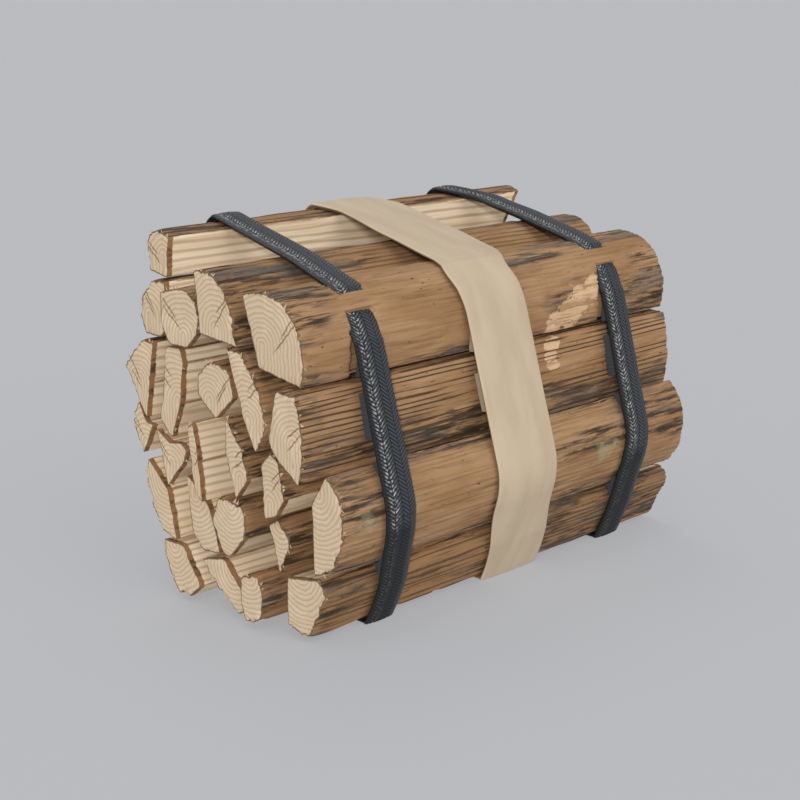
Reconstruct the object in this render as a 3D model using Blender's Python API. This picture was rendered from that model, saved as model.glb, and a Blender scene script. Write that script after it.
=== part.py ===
"""Firewood bundle: twenty-four split logs held by two braided straps and one wide band.

The logs run along X, with their near ends at -X and far ends at +X. +Y is the bundle's back, -Y its
barked front and +Z up. The bundle lies on the undersides of the straps and the band, at Z = 0.
"""

import math
import random

import bmesh
import bpy

MM = 0.001

LOG_LENGTH = 0.400
LIFT = 0.0036               # what the straps and the band measure where the bundle's weight flattens them
GAP = 0.0004                # clearance between pieces that touch
ARC_STEP = 0.008            # longest chord on a rounded stretch of bark
BARK_SPANS = 4              # lengths that a log's surface is divided into
BARK_WAVE = 0.0008          # how far the bark dips between the ends
SEED = 24

STRAP_THICKNESS = 0.0055
STRAP_DEPTH = 0.013         # how far a strap swells into the valleys between the logs
STRAP_SHOULDER = 0.0030
BAND_THICKNESS = 0.0050
BAND_DEPTH = 0.010
BAND_SHOULDER = 0.0018
STATION_STEP = 0.009        # longest stretch between two sections of a strap or the band
CORNER_TURN = math.radians(32)
FINE_STEP = 0.001           # spacing at which the room under a strap or the band is felt out

BUNDLE_MIDDLE = (0.0, 0.130)    # the point (y, z) round which the ties' angles are measured
CENTRING = (0.0020, -0.0035, 0.0)   # brings the middle of the bundle's box over the origin

# Each log: how far its near and far ends stand out past the nominal length, then the corners of its end,
# all in millimetres. A corner is y, z and the bulge of the side that starts there. The corners start at
# the back and go over the top to the front. Sides with a bulge are bark, straight ones mostly split wood.
LOGS = {
    "log_first_1": (3, -1, [(77, 40, 0), (53, 40, 0), (33, 12, 0), (48, 0, 0), (60, 1, 4)]),
    "log_first_2": (-1, 0, [(37, 32.5, 0), (10, 39.5, 0), (-10, 18.5, 1), (-14, 5.5, 0), (-5, 0, 3)]),
    "log_first_3": (5, 1, [(-14.5, 34, 0), (-34, 40, 0), (-39.5, 25, 1), (-34, 4, 0), (-20, 0, 0),
                           (-14, 15, 0)]),
    "log_first_4": (-6.5, 2, [(-52, 40, 0), (-84, 46, 3), (-92, 33, 0), (-75, 0, 0), (-52, 3, 0)]),
    "log_second_1": (2, -1, [(94, 99, 0), (70, 79, 0), (62, 41, 0), (79, 46, 4), (97, 87, 0)]),
    "log_second_2": (-4, -1, [(56, 92.5, 0), (39, 83, 0), (29, 72.5, 0), (21, 50.5, 0), (19, 39.5, 0),
                              (38, 37.5, 0), (50, 48.5, 0)]),
    "log_second_3": (0, 1, [(14, 86, 1), (-14, 84, 2), (-14, 59, 0), (3, 42, 0), (10, 43, 0), (22, 66, 0)]),
    "log_second_4": (-10, -3, [(-29, 74, 1), (-41, 79, 0), (-53, 63, 0), (-41, 37.5, 0)]),
    "log_second_5": (-6, -4, [(-79, 100, 0), (-94, 123, 4), (-111, 91, 5), (-95, 52, 0), (-81, 47.5, 0)]),
    "log_third_1": (2, -1, [(112, 125, 0), (103, 142, 0), (93.5, 127, 0), (85, 126, 0), (99, 100.5, 1)]),
    "log_third_2": (3, -2, [(81, 125, 0), (65, 116.5, 0), (51, 119, 0), (45, 114, 0), (48, 105, 0),
                            (69, 81.5, 0)]),
    "log_third_3": (2, -3, [(46, 133, 0), (39, 137, 0), (33, 108, 0), (30, 77, 0), (39, 86, 0)]),
    "log_third_4": (0, 0, [(3, 148, 0), (-8, 135, 2), (-20, 105, 0), (-6, 88, 0), (5, 121, 0)]),
    "log_third_5": (-4, 0, [(-29, 118, 0), (-40, 129, 0), (-48, 124, 0), (-54, 97, 0), (-45, 82.5, 0),
                            (-32, 77.5, 0)]),
    "log_fourth_1": (2, -1, [(118, 167, 1), (95, 190, 0.5), (82, 189, 0), (88, 157, 0), (93, 129, 0)]),
    "log_fourth_2": (0, -3, [(70, 188, 0.5), (52, 188.5, 0), (50, 178, 0), (54, 147, 0), (66, 118.5, 0),
                             (80, 132, 0), (76, 146, 0)]),
    "log_fourth_3": (4, 3, [(29, 175, 0), (16, 186, 2), (-6, 182, 0), (-12, 164, 0), (9, 144.5, 0),
                            (28, 158, 0)]),
    "log_fourth_4": (5, 1, [(-5, 200, 0), (-19, 198, 3), (-45, 160, 0), (-46, 145, 0), (-35, 128.5, 0),
                            (-22, 152, 0)]),
    "log_fourth_5": (8, 4, [(-60, 179, 0), (-80, 178, 5), (-83, 115, 0), (-60, 130, 0), (-51, 141, 0)]),
    "log_fifth_1": (-3, -2, [(72, 235, 0), (72, 199, 0), (79, 192, 0), (98, 193, 9), (89, 234, 0.5)]),
    "log_fifth_2": (3, -1, [(70.5, 229, 1), (40, 234, 7), (28, 203, 0), (40, 191, 0), (62, 191, 0),
                            (70.5, 205, 0)]),
    "log_fifth_3": (5, 1, [(28, 250, 1), (9, 249, 7), (-14, 209, 0), (-19, 200.5, 0), (23.5, 204.5, 0)]),
    "log_fifth_4": (0, 3, [(-18, 238, 0.5), (-33, 242.5, 0.5), (-54, 239.5, 1), (-71, 226, 1),
                           (-80, 204, 1), (-78, 180.5, 0), (-34, 188, 0), (-30, 200, 0)]),
    "log_top": (-7, -5, [(97, 254, 3), (88, 271, 0.5), (71, 267, 0), (74, 236, 0), (95, 240, 1)]),
}

# The top log's far end is sawn askew: how far it leans back for each unit of height.
FAR_SLANT = {"log_top": 0.55}

# The log at the front's top has a long ridge of bark, worn down at its near end: the ridge's corner there.
RIDGE_LOG = "log_fifth_4"
RIDGE_CORNER = 2
RIDGE_WORN = (-53, 234)

# Both straps bite into that ridge and pass under its bark: the log's corners as the straps find them.
STRAP_BED = [(-18, 238, 0), (-30, 240.5, 0), (-50, 234.3, 0), (-68.2, 217.3, 0), (-79.8, 203.5, 1),
             (-78, 180.5, 0), (-34, 188, 0), (-30, 200, 0)]
BED_ANGLES = (95, 142)      # the stretch of a strap that can lie in the ridge, in degrees round the bundle

# Where each tie runs: angle round the bundle in degrees, then the middle of the tie along X and its width,
# in millimetres. 60 is over the top log, 115 on the front's top corner, 198 at the widest part of the
# front, 237 to 291 underneath and 377 at the widest part of the back.
STRAP_NEAR_RUN = [(58, -125, 27), (64, -127, 27), (85, -126.5, 28), (110, -132, 28), (126, -138.5, 27),
                  (137, -142.5, 27), (198, -143, 28.5), (237, -129, 28), (291, -122, 28), (377, -126, 27)]
STRAP_FAR_RUN = [(58, 113, 25), (70, 136, 27), (85, 140.5, 29), (106, 141, 29), (126, 135.5, 27),
                 (137, 129.5, 27.5), (190, 128, 28), (204, 125.5, 30), (240, 137, 30), (291, 136, 29),
                 (377, 120, 26)]
BAND_RUN = [(58, -9, 60), (66, 6, 68), (85, 2.5, 71), (108, -1, 71), (121, -11, 66.5), (137, -8.5, 66),
            (205, -7, 66.5), (240, 14, 65), (291, 12, 66), (377, 0, 64)]

# Colour, roughness and metallic value of each material.
BARK_BROWN = ((0.34, 0.20, 0.11, 1), 0.85, 0.0)
STRAP_BLACK = ((0.022, 0.026, 0.032, 1), 0.42, 0.0)
BAND_CREAM = ((0.58, 0.46, 0.32, 1), 0.62, 0.0)


def clear_scene():
    for thing in list(bpy.data.objects):
        bpy.data.objects.remove(thing, do_unlink=True)


def make_material(name, finish):
    colour, roughness, metallic = finish
    material = bpy.data.materials.new(name)
    material.use_nodes = True
    shader = material.node_tree.nodes["Principled BSDF"]
    shader.inputs["Base Color"].default_value = colour
    shader.inputs["Roughness"].default_value = roughness
    shader.inputs["Metallic"].default_value = metallic
    return material


def make_object(name, bm, material):
    """Turn a closed bmesh into a named object with one material, moved over the origin."""
    bmesh.ops.recalc_face_normals(bm, faces=bm.faces)
    bmesh.ops.translate(bm, verts=bm.verts, vec=CENTRING)
    mesh = bpy.data.meshes.new(name)
    bm.to_mesh(mesh)
    bm.free()
    thing = bpy.data.objects.new(name, mesh)
    bpy.context.scene.collection.objects.link(thing)
    mesh.materials.append(material)
    return thing


def chord_counts(corners):
    """How many chords each side of a log's end has: one where it is straight, more where it bulges."""
    counts = []
    for index, (y, z, bulge) in enumerate(corners):
        next_y, next_z = corners[(index + 1) % len(corners)][:2]
        length = math.hypot(next_y - y, next_z - z) * MM
        counts.append(max(2, round(length / ARC_STEP)) if bulge else 1)
    return counts


def end_outline(corners, counts=None):
    """Points (y, z) in metres round a log's end, with its bulging sides divided into short chords."""
    points = []
    for index, chords in enumerate(counts or chord_counts(corners)):
        y, z, bulge = corners[index]
        next_y, next_z = corners[(index + 1) % len(corners)][:2]
        side_y = (next_y - y) * MM
        side_z = (next_z - z) * MM
        length = math.hypot(side_y, side_z)
        for chord in range(chords):
            along = chord / chords
            out = 4 * bulge * MM * along * (1 - along)
            points.append((y * MM + side_y * along + out * side_z / length,
                           z * MM + LIFT + side_z * along - out * side_y / length))
    return points


def barked_points(corners):
    """For each point of the outline, whether it lies on a bulging side and so on bark."""
    flags = []
    for chords in chord_counts(corners):
        flags += [False] + [True] * (chords - 1)
    return flags


def log_section(name, corners, share):
    """The outline at a share of the length from the near end, with the ridge log's corner worn down."""
    shaped = list(corners)
    if name == RIDGE_LOG and share == 0:
        shaped[RIDGE_CORNER] = (*RIDGE_WORN, corners[RIDGE_CORNER][2])
    return end_outline(shaped, chord_counts(corners))


def station_shares(name, near_x, far_x):
    """Where a log's sections lie, as shares of its length; the worn ridge end is short."""
    shares = [step / BARK_SPANS for step in range(BARK_SPANS + 1)]
    if name == RIDGE_LOG:
        shares.insert(1, 0.030 / (far_x - near_x))
    return shares


def make_log(name, material):
    near_out, far_out, corners = LOGS[name]
    near_x = -LOG_LENGTH / 2 - near_out * MM
    far_x = LOG_LENGTH / 2 + far_out * MM
    slant = FAR_SLANT.get(name, 0.0)
    top_z = max(corner[1] for corner in corners) * MM + LIFT
    chance = random.Random(SEED + sorted(LOGS).index(name))
    barked = barked_points(corners)
    shares = station_shares(name, near_x, far_x)
    bm = bmesh.new()
    rings = []
    for share in shares:
        outline = log_section(name, corners, share)
        middle_y = sum(point[0] for point in outline) / len(outline)
        middle_z = sum(point[1] for point in outline) / len(outline)
        ring = []
        for (y, z), bark in zip(outline, barked):
            inner = 0.0 < share < 1.0 and bark
            dip = chance.uniform(0, BARK_WAVE) if inner else 0.0
            reach = math.hypot(y - middle_y, z - middle_z)
            y -= (y - middle_y) / reach * dip
            z -= (z - middle_z) / reach * dip
            far_here = far_x - slant * (top_z - z)
            ring.append(bm.verts.new((near_x + (far_here - near_x) * share, y, z)))
        rings.append(ring)
    join_rings(bm, rings)
    bm.faces.new(rings[0])
    bm.faces.new(rings[-1])
    return make_object(name, bm, material)


def join_rings(bm, rings):
    """Bridge each ring of vertices to the next one."""
    for ring, following in zip(rings, rings[1:]):
        count = len(ring)
        for index in range(count):
            after = (index + 1) % count
            bm.faces.new((ring[index], ring[after], following[after], following[index]))


def convex_hull(points):
    """The corners of the tightest loop round the points, in the order of a counterclockwise walk."""
    ordered = sorted(set(points))

    def half(walk):
        chain = []
        for point in walk:
            while len(chain) > 1 and turn(chain[-2], chain[-1], point) <= 0:
                chain.pop()
            chain.append(point)
        return chain[:-1]

    return half(ordered) + half(reversed(ordered))


def turn(first, second, third):
    return ((second[0] - first[0]) * (third[1] - first[1])
            - (second[1] - first[1]) * (third[0] - first[0]))


def edge_angle(start, end):
    """The direction of the outward normal of a counterclockwise loop's edge."""
    return math.atan2(end[1] - start[1], end[0] - start[0]) - math.pi / 2


def tie_path(hull, thickness):
    """The outer face of a tie pulled tight round the hull.

    Returns finely spaced (point, normal angle, is_station) entries: round each corner of the wood in an
    arc, then straight to the next corner. Nothing goes below the ground.
    """
    path = []
    count = len(hull)
    for index in range(count):
        corner = hull[index]
        following = hull[(index + 1) % count]
        start = edge_angle(hull[index - 1], corner)
        bend = (edge_angle(corner, following) - start) % (2 * math.pi)
        arc_steps = max(1, math.ceil(bend / CORNER_TURN))
        for step in range(arc_steps + 1):
            path.append((around(corner, thickness, start + bend * step / arc_steps),
                         start + bend * step / arc_steps, True))
        normal = start + bend
        length = math.dist(corner, following)
        pieces = max(1, math.ceil(length / STATION_STEP))
        fine = pieces * max(1, math.ceil(length / pieces / FINE_STEP))
        for step in range(1, fine):
            foot = (corner[0] + (following[0] - corner[0]) * step / fine,
                    corner[1] + (following[1] - corner[1]) * step / fine)
            path.append((around(foot, thickness, normal), normal, step % (fine // pieces) == 0))
    return path


def around(foot, distance, angle):
    """A point at a distance from the foot, kept on or above the ground."""
    return (foot[0] + distance * math.cos(angle), max(0.0, foot[1] + distance * math.sin(angle)))


def room_below(point, angle, outlines):
    """How far a tie's outer face is from the wood, straight inwards."""
    direction = (-math.cos(angle), -math.sin(angle))
    nearest = math.inf
    for outline in outlines:
        for start, end in zip(outline, outline[1:] + outline[:1]):
            side = (end[0] - start[0], end[1] - start[1])
            across = direction[0] * side[1] - direction[1] * side[0]
            if abs(across) < 1e-12:
                continue
            away = (start[0] - point[0], start[1] - point[1])
            distance = (away[0] * side[1] - away[1] * side[0]) / across
            share = (away[0] * direction[1] - away[1] * direction[0]) / across
            if 0 <= share <= 1 and distance > 0:
                nearest = min(nearest, distance)
    return nearest


def tie_stations(hull, outlines, thickness, depth):
    """Outer point, normal angle and inward depth at each section of a tie."""
    path = tie_path(hull, thickness)
    rooms = [room_below(point, angle, outlines) for point, angle, _ in path]
    places = [index for index, entry in enumerate(path) if entry[2]]
    stations = []
    for order, place in enumerate(places):
        before = places[order - 1]
        after = places[(order + 1) % len(places)]
        span = (after - before) % len(path)
        tightest = min(rooms[(before + step) % len(path)] for step in range(span + 1))
        point, angle, _ = path[place]
        stations.append((point, angle, min(tightest - GAP, depth)))
    return stations


def bundle_angle(point):
    """The angle of a point round the bundle's middle, from 58 degrees up to 418."""
    angle = math.degrees(math.atan2(point[1] - BUNDLE_MIDDLE[1], point[0] - BUNDLE_MIDDLE[0]))
    return (angle - 58) % 360 + 58


def run_at(run, angle):
    """Middle along X and width of a tie at an angle, eased between the run's entries."""
    entries = run + [(run[0][0] + 360, run[0][1], run[0][2])]
    for first, second in zip(entries, entries[1:]):
        if first[0] <= angle <= second[0]:
            share = (angle - first[0]) / (second[0] - first[0])
            share = share * share * (3 - 2 * share)
            middle = first[1] + (second[1] - first[1]) * share
            width = first[2] + (second[2] - first[2]) * share
            return middle * MM, width * MM
    return entries[0][1] * MM, entries[0][2] * MM


def tie_section(station, run, shoulder):
    """The six corners of a tie's section: its two sides, the rounded shoulders and the inner face."""
    point, angle, depth = station
    middle, width = run_at(run, bundle_angle(point))
    half = width / 2
    drop = shoulder * 0.7
    corners = [(-half, depth), (-half, drop), (-half + shoulder, 0), (half - shoulder, 0), (half, drop),
               (half, depth)]
    return [(middle + across, point[0] - inward * math.cos(angle), point[1] - inward * math.sin(angle))
            for across, inward in corners]


def make_tie(name, hull, outlines, run, thickness, depth, shoulder, material):
    """A closed ring that follows the bundle and swells into its valleys."""
    stations = tie_stations(hull, outlines, thickness, depth)
    bm = bmesh.new()
    rings = []
    for station in stations:
        rings.append([bm.verts.new(corner) for corner in tie_section(station, run, shoulder)])
    join_rings(bm, rings + [rings[0]])
    return make_object(name, bm, material)


def make_channel_cutter(name, hull, run, material):
    """The room that a strap takes up in the ridge, a little larger than the strap itself."""
    bed = STRAP_THICKNESS - GAP / 4
    bm = bmesh.new()
    rings = []
    for point, angle, is_station in tie_path(hull, STRAP_THICKNESS):
        place = bundle_angle(point)
        if not is_station or not BED_ANGLES[0] <= place <= BED_ANGLES[1]:
            continue
        middle, width = run_at(run, place)
        half = width / 2 + GAP
        corners = [(-half, bed), (-half, -GAP), (half, -GAP), (half, bed)]
        rings.append([bm.verts.new((middle + across, point[0] - inward * math.cos(angle),
                                    point[1] - inward * math.sin(angle)))
                      for across, inward in corners])
    join_rings(bm, rings)
    bm.faces.new(rings[0])
    bm.faces.new(rings[-1])
    cutter = make_object(name, bm, material)
    cutter.hide_render = True
    cutter.display_type = 'WIRE'
    return cutter


def cut_channel(log, cutter):
    cut = log.modifiers.new("strap channel", 'BOOLEAN')
    cut.operation = 'DIFFERENCE'
    cut.solver = 'EXACT'
    cut.object = cutter


def build():
    clear_scene()
    wood = make_material("bark", BARK_BROWN)
    braid = make_material("braid", STRAP_BLACK)
    leather = make_material("leather", BAND_CREAM)
    outlines = {name: end_outline(log[2]) for name, log in LOGS.items()}
    band_hull = convex_hull([point for outline in outlines.values() for point in outline])
    bed_outlines = dict(outlines)
    bed_outlines[RIDGE_LOG] = end_outline(STRAP_BED)
    strap_hull = convex_hull([point for outline in bed_outlines.values() for point in outline])
    logs = {name: make_log(name, wood) for name in LOGS}
    for name, run in (("strap_near", STRAP_NEAR_RUN), ("strap_far", STRAP_FAR_RUN)):
        make_tie(name, strap_hull, list(bed_outlines.values()), run, STRAP_THICKNESS, STRAP_DEPTH,
                 STRAP_SHOULDER, braid)
        cutter = make_channel_cutter(name + "_room", strap_hull, run, wood)
        cut_channel(logs[RIDGE_LOG], cutter)
    make_tie("band", band_hull, list(outlines.values()), BAND_RUN, BAND_THICKNESS, BAND_DEPTH,
             BAND_SHOULDER, leather)


build()
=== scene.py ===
"""Firewood bundle: split logs in two braided straps and a wide band, on a pale studio floor.

The logs run along X with their near ends at -X. Lengths in tables are in millimetres, others in metres.
"""

import math

import bpy
import numpy as np
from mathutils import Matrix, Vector


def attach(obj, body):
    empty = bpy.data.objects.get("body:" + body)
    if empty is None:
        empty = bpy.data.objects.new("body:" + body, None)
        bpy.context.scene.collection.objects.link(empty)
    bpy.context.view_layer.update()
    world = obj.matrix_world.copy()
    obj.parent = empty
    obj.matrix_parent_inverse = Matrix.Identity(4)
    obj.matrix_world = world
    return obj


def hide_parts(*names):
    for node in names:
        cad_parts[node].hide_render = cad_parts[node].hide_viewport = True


MM = 0.001

LOG_LENGTH = 0.400
LIFT = 0.0036                   # how high the lowest logs lie, on the flattened straps and band
CENTRING = (0.0020, -0.0035)    # how far the bundle is moved along X and Y, to stand over the middle

# The logs, as the solids have them: how far the near and far ends stand out, then the end's corners as
# y, z, the bulge of the side that starts there, and whether that side is bark (B) or split wood (S).
B = True
S = False
LOGS = {
    "log_first_1": (3, -1, [(77, 40, 0, S), (53, 40, 0, S), (33, 12, 0, S), (48, 0, 0, B),
        (60, 1, 4, B)]),
    "log_first_2": (-1, 0, [(37, 32.5, 0, S), (10, 39.5, 0, S), (-10, 18.5, 1, B), (-14, 5.5, 0, S),
        (-5, 0, 3, B)]),
    "log_first_3": (5, 1, [(-14.5, 34, 0, B), (-34, 40, 0, B), (-39.5, 25, 1, B), (-34, 4, 0, B),
        (-20, 0, 0, S), (-14, 15, 0, S)]),
    "log_first_4": (-6.5, 2, [(-52, 40, 0, S), (-84, 46, 3, B), (-92, 33, 0, B), (-75, 0, 0, B),
        (-52, 3, 0, S)]),
    "log_second_1": (2, -1, [(94, 99, 0, S), (70, 79, 0, S), (62, 41, 0, S), (79, 46, 4, B),
        (97, 87, 0, B)]),
    "log_second_2": (-4, -1, [(56, 92.5, 0, S), (39, 83, 0, S), (29, 72.5, 0, S), (21, 50.5, 0, S),
        (19, 39.5, 0, S), (38, 37.5, 0, S), (50, 48.5, 0, S)]),
    "log_second_3": (0, 1, [(14, 86, 1, B), (-14, 84, 2, B), (-14, 59, 0, S), (3, 42, 0, S),
        (10, 43, 0, S), (22, 66, 0, S)]),
    "log_second_4": (-10, -3, [(-29, 74, 1, B), (-41, 79, 0, B), (-53, 63, 0, B), (-41, 37.5, 0, S)]),
    "log_second_5": (-6, -4, [(-79, 100, 0, S), (-94, 123, 4, B), (-111, 91, 5, B), (-95, 52, 0, B),
        (-81, 47.5, 0, S)]),
    "log_third_1": (2, -1, [(112, 125, 0, B), (103, 142, 0, S), (93.5, 127, 0, S), (85, 126, 0, S),
        (99, 100.5, 1, B)]),
    "log_third_2": (3, -2, [(81, 125, 0, S), (65, 116.5, 0, S), (51, 119, 0, S), (45, 114, 0, S),
        (48, 105, 0, S), (69, 81.5, 0, S)]),
    "log_third_3": (2, -3, [(46, 133, 0, B), (39, 137, 0, S), (33, 108, 0, S), (30, 77, 0, S),
        (39, 86, 0, S)]),
    "log_third_4": (0, 0, [(3, 148, 0, B), (-8, 135, 2, B), (-20, 105, 0, S), (-6, 88, 0, S),
        (5, 121, 0, S)]),
    "log_third_5": (-4, 0, [(-29, 118, 0, S), (-40, 129, 0, B), (-48, 124, 0, B), (-54, 97, 0, S),
        (-45, 82.5, 0, S), (-32, 77.5, 0, S)]),
    "log_fourth_1": (2, -1, [(118, 167, 1, B), (95, 190, 0.5, B), (82, 189, 0, S), (88, 157, 0, S),
        (93, 129, 0, S)]),
    "log_fourth_2": (0, -3, [(70, 188, 0.5, S), (52, 188.5, 0, S), (50, 178, 0, S), (54, 147, 0, S),
        (66, 118.5, 0, S), (80, 132, 0, S), (76, 146, 0, S)]),
    "log_fourth_3": (4, 3, [(29, 175, 0, B), (16, 186, 2, B), (-6, 182, 0, S), (-12, 164, 0, S),
        (9, 144.5, 0, S), (28, 158, 0, S)]),
    "log_fourth_4": (5, 1, [(-5, 200, 0, B), (-19, 198, 3, B), (-45, 160, 0, B), (-46, 145, 0, B),
        (-35, 128.5, 0, S), (-22, 152, 0, S)]),
    "log_fourth_5": (8, 4, [(-60, 179, 0, B), (-80, 178, 5, B), (-83, 115, 0, S), (-60, 130, 0, S),
        (-51, 141, 0, S)]),
    "log_fifth_1": (-3, -2, [(72, 235, 0, S), (72, 199, 0, S), (79, 192, 0, S), (98, 193, 9, B),
        (89, 234, 0.5, B)]),
    "log_fifth_2": (3, -1, [(70.5, 229, 1, B), (40, 234, 7, B), (28, 203, 0, S), (40, 191, 0, S),
        (62, 191, 0, S), (70.5, 205, 0, S)]),
    "log_fifth_3": (5, 1, [(28, 250, 1, B), (9, 249, 7, B), (-14, 209, 0, B), (-19, 200.5, 0, S),
        (23.5, 204.5, 0, S)]),
    "log_fifth_4": (0, 3, [(-18, 238, 0.5, B), (-33, 242.5, 0.5, B), (-54, 239.5, 1, B), (-71, 226, 1, B),
        (-80, 204, 1, B), (-78, 180.5, 0, S), (-34, 188, 0, S), (-30, 200, 0, S)]),
    "log_top": (-7, -5, [(97, 254, 3, B), (88, 271, 0.5, B), (71, 267, 0, S), (74, 236, 0, S),
        (95, 240, 1, B)]),
}
FAR_SLANT = {"log_top": 0.55}   # how far a far end slants in, from the top down
RIDGE_LOG = "log_fifth_4"       # the straps bite into this log's ridge
BRIDGE = (-0.0585, 0.2300)  # the bark bridge over the straps: from this y down to this z
BRIDGE_SINK = 0.0034        # how far the wood is sunk under a strap beside the bridge

# How each log's bark looks: tone from 0, dark, to 1, light; how striped it is; how grey it is.
BARK_LOOKS = {
    # log_first_4's dark tone is painted shade: the lowest log is made darker for the shade at the bundle's
    # bottom.
    "log_first_4": (0.00, 0.80, 0.50),
    "log_second_5": (0.70, 0.30, 0.45),
    "log_fourth_5": (0.55, 1.00, 0.60),
    "log_fifth_4": (0.56, 0.12, 0.60),
    "log_fifth_3": (0.35, 0.60, 0.90),
    "log_fourth_4": (0.55, 0.35, 0.15),
    "log_fourth_3": (0.25, 0.40, 0.80),
    "log_third_3": (0.20, 0.40, 0.70),
    "log_top": (0.00, 1.00, 0.40),
}
PLAIN_BARK = (0.45, 0.35, 0.25)

# Bare and lichened spots on the logs' -Y sides: x and z where each starts and ends, and its half width.
BARE_SPOTS = {
    "log_fifth_4": [(116, 214, 100, 207, 12), (98, 206, 82, 198, 16), (78, 201, 62, 188, 11)],
    "log_fourth_5": [(64, 177, 54, 175, 6), (58, 169, 52, 167, 6), (63, 161, 52, 160, 4)],
}
LICHEN_SPOTS = {
    "log_second_5": [(93, 90, 88, 91, 10), (106, 93, 100, 88, 7), (-168, 96, -168, 91, 9)],
    "log_first_4": [(-197, 24, -194, 20, 6)],
}

SPLINTERS_A_LOG = 4

# Which way the rings on the logs' ends arch: 1 up, -1 down; how far the heart is above the log's middle, as
# a share of its height; and how straight the rings run on the heart's other side, 0 for straight.
RING_LOOKS = {
    "log_first": (-1, 0.42, 0.10),
    "log_second": (-1, 0.36, 0.12),
    "log_third": (1, -0.16, 0.08),
    "log_fourth": (1, -0.16, 0.06),
    "log_fifth": (1, -0.20, 0.06),
    "log_top": (1, -0.10, 0.10),
}

# The ties, as the solids have them. A run's rows are an angle round the bundle, where the tie's middle is
# along X there, and its width. The backs are the angles between which a tie reaches into a gap.
RUN_START = 58
STRAP_BED = [(-18, 238, 0), (-30, 240.5, 0), (-50, 234.3, 0), (-68.2, 217.3, 0), (-79.8, 203.5, 1),
             (-78, 180.5, 0), (-34, 188, 0), (-30, 200, 0)]
BUNDLE_MIDDLE = (0.0, 0.130)
STRAP_THICKNESS = 0.0055
STRAP_DEPTH = 0.013
STRAP_SHOULDER = 0.0016
STRAP_BACKS = [(138, 147.5), (153.5, 171.5), (179.7, 197), (213.5, 222.5)]
BAND_THICKNESS = 0.0050
BAND_DEPTH = 0.010
BAND_SHOULDER = 0.0024
BAND_BACKS = [(131, 148), (156, 172), (184, 195)]
EDGE_HEIGHT = 0.0009        # how high a tie's edge is before its side runs in under it
UNDERCUT = 0.0036           # how far the side runs in
STRAP_NEAR_RUN = [(58, -125, 27), (64, -127, 27), (85, -126.5, 28), (110, -132, 28), (126, -138.5, 27),
                  (137, -142.5, 27), (198, -143, 28.5), (237, -129, 28), (291, -122, 28), (377, -126, 27)]
STRAP_FAR_RUN = [(58, 113, 25), (70, 136, 27), (85, 140.5, 29), (106, 141, 29), (126, 135.5, 27),
                 (137, 129.5, 27.5), (190, 128, 28), (204, 125.5, 30), (240, 137, 30), (291, 136, 29),
                 (377, 120, 26)]
BAND_RUN = [(58, -9, 60), (66, 6, 68), (85, 2.5, 71), (108, -1, 71), (121, -11, 66.5), (137, -8.5, 66),
            (205, -7, 66.5), (240, 14, 65), (291, 12, 66), (377, 0, 64)]

# Mesh spacing.
ROUND_STEP = 0.0016         # between points round a log
LENGTH_STEP = 0.0034        # between a log's sections
CHORD = 0.004               # between points round the rounded sides that the ties are pulled over
END_STEPS = (0, 0.0008, 0.0018, 0.0032, 0.0050, 0.0075)     # sections near each end
CAP_INSETS = (0.0007, 0.0018, 0.0042)
CAP_SCALES = (0.66, 0.40, 0.16)
TIE_STEP = 0.0010           # between a tie's sections

FAR_OFF = 0.02              # distances from borders, corners and rims are counted up to this

# Relief and rings.
RING_PITCH = 0.0035
RING_WOBBLE = 0.008
LINES = (110, 250)              # how many thin bark lines there are to a metre of Y and of Z
STRIPE_TURN = 980               # how fast the split wood's stripes change, in radians a metre of Z
BARK_FURROW = 0.0011
BARK_PLATE = 0.0006
SPLIT_FIBRE = 0.00035
SPLIT_SWELL = 0.0005
CHIP_DEPTH = 0.0024
CHIP_REACH = 0.007
BRAID_RELIEF = 0.00036
BRAID_COLUMNS = 4
BRAID_PITCH = 0.0030
BRAID_SLANT = 1.8               # how many pitches a yarn runs on while it crosses a column

# The camera, solved from the photo's straight edges.
CAMERA_PLACE = (-0.895, -0.8625, 0.4426)
CAMERA_AZIMUTH = -45.32
CAMERA_ELEVATION = 14.25
CAMERA_LENS = 72.8

# The room: its floor's rings, and each light's azimuth, elevation, spread, strength and colour.
FLOOR_RINGS = (2.0, 12.0, 60.0)
FLOOR_GLOW = (0.96, 0.97, 1.0, 1)
FLOOR_GLOW_STRENGTH = 0.32
ROOM_COLOUR = (0.95, 0.97, 1.0, 1)
ROOM_STRENGTH = 0.52
LIGHTS = {
    "front": (-48, 16, 10, 1.55, (1.0, 0.99, 0.98)),
    "front_right": (0, 35, 40, 0.3, (1.0, 0.99, 0.98)),
    "above": (-30, 70, 50, 0.35, (1.0, 1.0, 1.0)),
    "back": (150, 52, 24, 0.3, (1.0, 1.0, 1.0)),
}


def srgb(red, green, blue):
    """A linear colour from 0 to 255 sRGB values."""
    linear = []
    for value in (red, green, blue):
        share = value / 255
        linear.append(share / 12.92 if share <= 0.04045 else ((share + 0.055) / 1.055) ** 2.4)
    return (*linear, 1.0)


# Noise for the meshes.

def lattice(column, row, layer, seed):
    """A repeatable number from -1 to 1 for each point of a whole-number lattice."""
    mixed = (column * 374761393 + row * 668265263 + layer * 974711 + seed * 362437) & 0xFFFFFFFF
    mixed = ((mixed ^ (mixed >> 13)) * 1274126177) & 0xFFFFFFFF
    mixed = ((mixed ^ (mixed >> 15)) * 2246822519) & 0xFFFFFFFF
    return ((mixed ^ (mixed >> 16)) & 0xFFFFFF) / 0x7FFFFF - 1.0


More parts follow.
